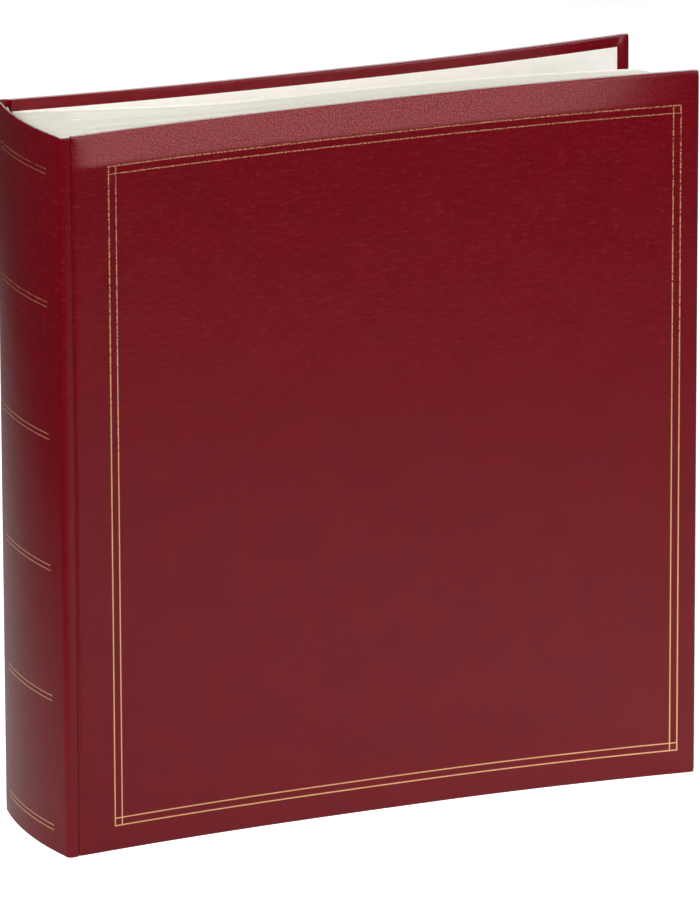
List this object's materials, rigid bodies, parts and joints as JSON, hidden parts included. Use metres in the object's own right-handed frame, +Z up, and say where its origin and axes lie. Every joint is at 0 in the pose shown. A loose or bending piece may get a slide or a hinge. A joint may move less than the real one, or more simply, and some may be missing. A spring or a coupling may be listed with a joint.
{
  "type": "stamp album",
  "caption": "Tall bound album for stamps: leatherette covers on a round hollow spine, white card leaves on guards, covers and leaves that turn.",
  "frame": {"origin": "middle of the footprint, on the surface the album stands on", "axes": "+Z up along the spine, +X from the spine to the fore-edge, -Y out of the front cover"},
  "size_m": [0.302, 0.076, 0.32],
  "materials": {
    "leatherette": "fine grain, semi-gloss burgundy",
    "greyboard": "matt",
    "endpaper": "matt, cool white",
    "leaf_card": "matt, warm white",
    "kraft": "matt",
    "binding_cloth": "open weave"
  },
  "bodies": {
    "spine": {"spine_covering": "leatherette", "spine_inlay": "greyboard", "back_lining": "kraft", "mull_lining": "binding_cloth", "sewing_tape_1": "binding_cloth", "sewing_tape_2": "binding_cloth", "sewing_tape_3": "binding_cloth", "sewing_tape_4": "binding_cloth", "guard_1": "leaf_card", "guard_2": "leaf_card", "guard_3": "leaf_card", "guard_4": "leaf_card", "guard_5": "leaf_card", "guard_6": "leaf_card"},
    "front_cover": {"front_covering": "leatherette", "front_board": "greyboard", "front_pastedown": "endpaper"},
    "rear_cover": {"rear_covering": "leatherette", "rear_board": "greyboard", "rear_pastedown": "endpaper"},
    "front_flyleaf": {"front_flyleaf": "endpaper"},
    "leaf_01": {"leaf_01": "leaf_card"},
    "leaf_02": {"leaf_02": "leaf_card"},
    "leaf_03": {"leaf_03": "leaf_card"},
    "leaf_04": {"leaf_04": "leaf_card"},
    "leaf_05": {"leaf_05": "leaf_card"},
    "leaf_06": {"leaf_06": "leaf_card"},
    "leaf_07": {"leaf_07": "leaf_card"},
    "leaf_08": {"leaf_08": "leaf_card"},
    "leaf_09": {"leaf_09": "leaf_card"},
    "leaf_10": {"leaf_10": "leaf_card"},
    "leaf_11": {"leaf_11": "leaf_card"},
    "leaf_12": {"leaf_12": "leaf_card"},
    "leaf_13": {"leaf_13": "leaf_card"},
    "leaf_14": {"leaf_14": "leaf_card"},
    "leaf_15": {"leaf_15": "leaf_card"},
    "leaf_16": {"leaf_16": "leaf_card"},
    "leaf_17": {"leaf_17": "leaf_card"},
    "leaf_18": {"leaf_18": "leaf_card"},
    "leaf_19": {"leaf_19": "leaf_card"},
    "leaf_20": {"leaf_20": "leaf_card"},
    "leaf_21": {"leaf_21": "leaf_card"},
    "leaf_22": {"leaf_22": "leaf_card"},
    "leaf_23": {"leaf_23": "leaf_card"},
    "leaf_24": {"leaf_24": "leaf_card"},
    "leaf_25": {"leaf_25": "leaf_card"},
    "leaf_26": {"leaf_26": "leaf_card"},
    "leaf_27": {"leaf_27": "leaf_card"},
    "leaf_28": {"leaf_28": "leaf_card"},
    "leaf_29": {"leaf_29": "leaf_card"},
    "leaf_30": {"leaf_30": "leaf_card"},
    "leaf_31": {"leaf_31": "leaf_card"},
    "leaf_32": {"leaf_32": "leaf_card"},
    "leaf_33": {"leaf_33": "leaf_card"},
    "leaf_34": {"leaf_34": "leaf_card"},
    "rear_flyleaf": {"rear_flyleaf": "endpaper"}
  },
  "joints": [
    {"name": "front_cover_hinge", "type": "hinge", "parent": "spine", "child": "front_cover", "pos_m": [-0.1424, -0.0378, 0], "axis": [0, 0, -1], "range_deg": [0, 175]},
    {"name": "rear_cover_hinge", "type": "hinge", "parent": "spine", "child": "rear_cover", "pos_m": [-0.1424, 0.0378, 0], "axis": [0, 0, 1], "range_deg": [0, 175]},
    {"name": "front_flyleaf_crease", "type": "hinge", "parent": "spine", "child": "front_flyleaf", "pos_m": [-0.12515, -0.03061, 0], "axis": [0, 0, -1], "range_deg": [0, 125.01]},
    {"name": "leaf_01_crease", "type": "hinge", "parent": "spine", "child": "leaf_01", "pos_m": [-0.12364, -0.02873, 0], "axis": [0, 0, -1], "range_deg": [0, 118.06]},
    {"name": "leaf_02_crease", "type": "hinge", "parent": "spine", "child": "leaf_02", "pos_m": [-0.12233, -0.02689, 0], "axis": [0, 0, -1], "range_deg": [0, 111.12]},
    {"name": "leaf_03_crease", "type": "hinge", "parent": "spine", "child": "leaf_03", "pos_m": [-0.12122, -0.02507, 0], "axis": [0, 0, -1], "range_deg": [0, 104.18]},
    {"name": "leaf_04_crease", "type": "hinge", "parent": "spine", "child": "leaf_04", "pos_m": [-0.12029, -0.02328, 0], "axis": [0, 0, -1], "range_deg": [0, 97.23]},
    {"name": "leaf_05_crease", "type": "hinge", "parent": "spine", "child": "leaf_05", "pos_m": [-0.11951, -0.02151, 0], "axis": [0, 0, -1], "range_deg": [0, 90.29]},
    {"name": "leaf_06_crease", "type": "hinge", "parent": "spine", "child": "leaf_06", "pos_m": [-0.11888, -0.01975, 0], "axis": [0, 0, -1], "range_deg": [0, 83.34]},
    {"name": "leaf_07_crease", "type": "hinge", "parent": "spine", "child": "leaf_07", "pos_m": [-0.11836, -0.01801, 0], "axis": [0, 0, -1], "range_deg": [0, 76.4]},
    {"name": "leaf_08_crease", "type": "hinge", "parent": "spine", "child": "leaf_08", "pos_m": [-0.11796, -0.01627, 0], "axis": [0, 0, -1], "range_deg": [0, 69.45]},
    {"name": "leaf_09_crease", "type": "hinge", "parent": "spine", "child": "leaf_09", "pos_m": [-0.11765, -0.01455, 0], "axis": [0, 0, -1], "range_deg": [0, 62.51]},
    {"name": "leaf_10_crease", "type": "hinge", "parent": "spine", "child": "leaf_10", "pos_m": [-0.11742, -0.01283, 0], "axis": [0, 0, -1], "range_deg": [0, 55.57]},
    {"name": "leaf_11_crease", "type": "hinge", "parent": "spine", "child": "leaf_11", "pos_m": [-0.11725, -0.01111, 0], "axis": [0, 0, -1], "range_deg": [0, 48.62]},
    {"name": "leaf_12_crease", "type": "hinge", "parent": "spine", "child": "leaf_12", "pos_m": [-0.11714, -0.0094, 0], "axis": [0, 0, -1], "range_deg": [0, 41.68]},
    {"name": "leaf_13_crease", "type": "hinge", "parent": "spine", "child": "leaf_13", "pos_m": [-0.11707, -0.00769, 0], "axis": [0, 0, -1], "range_deg": [0, 34.73]},
    {"name": "leaf_14_crease", "type": "hinge", "parent": "spine", "child": "leaf_14", "pos_m": [-0.11703, -0.00598, 0], "axis": [0, 0, -1], "range_deg": [0, 27.79]},
    {"name": "leaf_15_crease", "type": "hinge", "parent": "spine", "child": "leaf_15", "pos_m": [-0.11701, -0.00427, 0], "axis": [0, 0, -1], "range_deg": [0, 20.84]},
    {"name": "leaf_16_crease", "type": "hinge", "parent": "spine", "child": "leaf_16", "pos_m": [-0.117, -0.00256, 0], "axis": [0, 0, -1], "range_deg": [0, 13.9]},
    {"name": "leaf_17_crease", "type": "hinge", "parent": "spine", "child": "leaf_17", "pos_m": [-0.117, -0.00085, 0], "axis": [0, 0, -1], "range_deg": [0, 6.95]},
    {"name": "leaf_18_crease", "type": "hinge", "parent": "spine", "child": "leaf_18", "pos_m": [-0.117, 0.00085, 0], "axis": [0, 0, 1], "range_deg": [0, 6.95]},
    {"name": "leaf_19_crease", "type": "hinge", "parent": "spine", "child": "leaf_19", "pos_m": [-0.117, 0.00256, 0], "axis": [0, 0, 1], "range_deg": [0, 13.9]},
    {"name": "leaf_20_crease", "type": "hinge", "parent": "spine", "child": "leaf_20", "pos_m": [-0.11701, 0.00427, 0], "axis": [0, 0, 1], "range_deg": [0, 20.84]},
    {"name": "leaf_21_crease", "type": "hinge", "parent": "spine", "child": "leaf_21", "pos_m": [-0.11703, 0.00598, 0], "axis": [0, 0, 1], "range_deg": [0, 27.79]},
    {"name": "leaf_22_crease", "type": "hinge", "parent": "spine", "child": "leaf_22", "pos_m": [-0.11707, 0.00769, 0], "axis": [0, 0, 1], "range_deg": [0, 34.73]},
    {"name": "leaf_23_crease", "type": "hinge", "parent": "spine", "child": "leaf_23", "pos_m": [-0.11714, 0.0094, 0], "axis": [0, 0, 1], "range_deg": [0, 41.68]},
    {"name": "leaf_24_crease", "type": "hinge", "parent": "spine", "child": "leaf_24", "pos_m": [-0.11725, 0.01111, 0], "axis": [0, 0, 1], "range_deg": [0, 48.62]},
    {"name": "leaf_25_crease", "type": "hinge", "parent": "spine", "child": "leaf_25", "pos_m": [-0.11742, 0.01283, 0], "axis": [0, 0, 1], "range_deg": [0, 55.57]},
    {"name": "leaf_26_crease", "type": "hinge", "parent": "spine", "child": "leaf_26", "pos_m": [-0.11765, 0.01455, 0], "axis": [0, 0, 1], "range_deg": [0, 62.51]},
    {"name": "leaf_27_crease", "type": "hinge", "parent": "spine", "child": "leaf_27", "pos_m": [-0.11796, 0.01627, 0], "axis": [0, 0, 1], "range_deg": [0, 69.45]},
    {"name": "leaf_28_crease", "type": "hinge", "parent": "spine", "child": "leaf_28", "pos_m": [-0.11836, 0.01801, 0], "axis": [0, 0, 1], "range_deg": [0, 76.4]},
    {"name": "leaf_29_crease", "type": "hinge", "parent": "spine", "child": "leaf_29", "pos_m": [-0.11888, 0.01975, 0], "axis": [0, 0, 1], "range_deg": [0, 83.34]},
    {"name": "leaf_30_crease", "type": "hinge", "parent": "spine", "child": "leaf_30", "pos_m": [-0.11951, 0.02151, 0], "axis": [0, 0, 1], "range_deg": [0, 90.29]},
    {"name": "leaf_31_crease", "type": "hinge", "parent": "spine", "child": "leaf_31", "pos_m": [-0.12029, 0.02328, 0], "axis": [0, 0, 1], "range_deg": [0, 97.23]},
    {"name": "leaf_32_crease", "type": "hinge", "parent": "spine", "child": "leaf_32", "pos_m": [-0.12122, 0.02507, 0], "axis": [0, 0, 1], "range_deg": [0, 104.18]},
    {"name": "leaf_33_crease", "type": "hinge", "parent": "spine", "child": "leaf_33", "pos_m": [-0.12233, 0.02689, 0], "axis": [0, 0, 1], "range_deg": [0, 111.12]},
    {"name": "leaf_34_crease", "type": "hinge", "parent": "spine", "child": "leaf_34", "pos_m": [-0.12364, 0.02873, 0], "axis": [0, 0, 1], "range_deg": [0, 118.06]},
    {"name": "rear_flyleaf_crease", "type": "hinge", "parent": "spine", "child": "rear_flyleaf", "pos_m": [-0.12515, 0.03061, 0], "axis": [0, 0, 1], "range_deg": [0, 125.01]}
  ],
  "couplings": [
    {"joint": "front_flyleaf_crease", "follows": "front_cover_hinge", "ratio": 0.71429},
    {"joint": "leaf_01_crease", "follows": "front_cover_hinge", "ratio": 0.6746},
    {"joint": "leaf_02_crease", "follows": "front_cover_hinge", "ratio": 0.63492},
    {"joint": "leaf_03_crease", "follows": "front_cover_hinge", "ratio": 0.59524},
    {"joint": "leaf_04_crease", "follows": "front_cover_hinge", "ratio": 0.55556},
    {"joint": "leaf_05_crease", "follows": "front_cover_hinge", "ratio": 0.51587},
    {"joint": "leaf_06_crease", "follows": "front_cover_hinge", "ratio": 0.47619},
    {"joint": "leaf_07_crease", "follows": "front_cover_hinge", "ratio": 0.43651},
    {"joint": "leaf_08_crease", "follows": "front_cover_hinge", "ratio": 0.39683},
    {"joint": "leaf_09_crease", "follows": "front_cover_hinge", "ratio": 0.35714},
    {"joint": "leaf_10_crease", "follows": "front_cover_hinge", "ratio": 0.31746},
    {"joint": "leaf_11_crease", "follows": "front_cover_hinge", "ratio": 0.27778},
    {"joint": "leaf_12_crease", "follows": "front_cover_hinge", "ratio": 0.2381},
    {"joint": "leaf_13_crease", "follows": "front_cover_hinge", "ratio": 0.19841},
    {"joint": "leaf_14_crease", "follows": "front_cover_hinge", "ratio": 0.15873},
    {"joint": "leaf_15_crease", "follows": "front_cover_hinge", "ratio": 0.11905},
    {"joint": "leaf_16_crease", "follows": "front_cover_hinge", "ratio": 0.07937},
    {"joint": "leaf_17_crease", "follows": "front_cover_hinge", "ratio": 0.03968},
    {"joint": "leaf_18_crease", "follows": "rear_cover_hinge", "ratio": 0.03968},
    {"joint": "leaf_19_crease", "follows": "rear_cover_hinge", "ratio": 0.07937},
    {"joint": "leaf_20_crease", "follows": "rear_cover_hinge", "ratio": 0.11905},
    {"joint": "leaf_21_crease", "follows": "rear_cover_hinge", "ratio": 0.15873},
    {"joint": "leaf_22_crease", "follows": "rear_cover_hinge", "ratio": 0.19841},
    {"joint": "leaf_23_crease", "follows": "rear_cover_hinge", "ratio": 0.2381},
    {"joint": "leaf_24_crease", "follows": "rear_cover_hinge", "ratio": 0.27778},
    {"joint": "leaf_25_crease", "follows": "rear_cover_hinge", "ratio": 0.31746},
    {"joint": "leaf_26_crease", "follows": "rear_cover_hinge", "ratio": 0.35714},
    {"joint": "leaf_27_crease", "follows": "rear_cover_hinge", "ratio": 0.39683},
    {"joint": "leaf_28_crease", "follows": "rear_cover_hinge", "ratio": 0.43651},
    {"joint": "leaf_29_crease", "follows": "rear_cover_hinge", "ratio": 0.47619},
    {"joint": "leaf_30_crease", "follows": "rear_cover_hinge", "ratio": 0.51587},
    {"joint": "leaf_31_crease", "follows": "rear_cover_hinge", "ratio": 0.55556},
    {"joint": "leaf_32_crease", "follows": "rear_cover_hinge", "ratio": 0.59524},
    {"joint": "leaf_33_crease", "follows": "rear_cover_hinge", "ratio": 0.63492},
    {"joint": "leaf_34_crease", "follows": "rear_cover_hinge", "ratio": 0.6746},
    {"joint": "rear_flyleaf_crease", "follows": "rear_cover_hinge", "ratio": 0.71429}
  ]
}
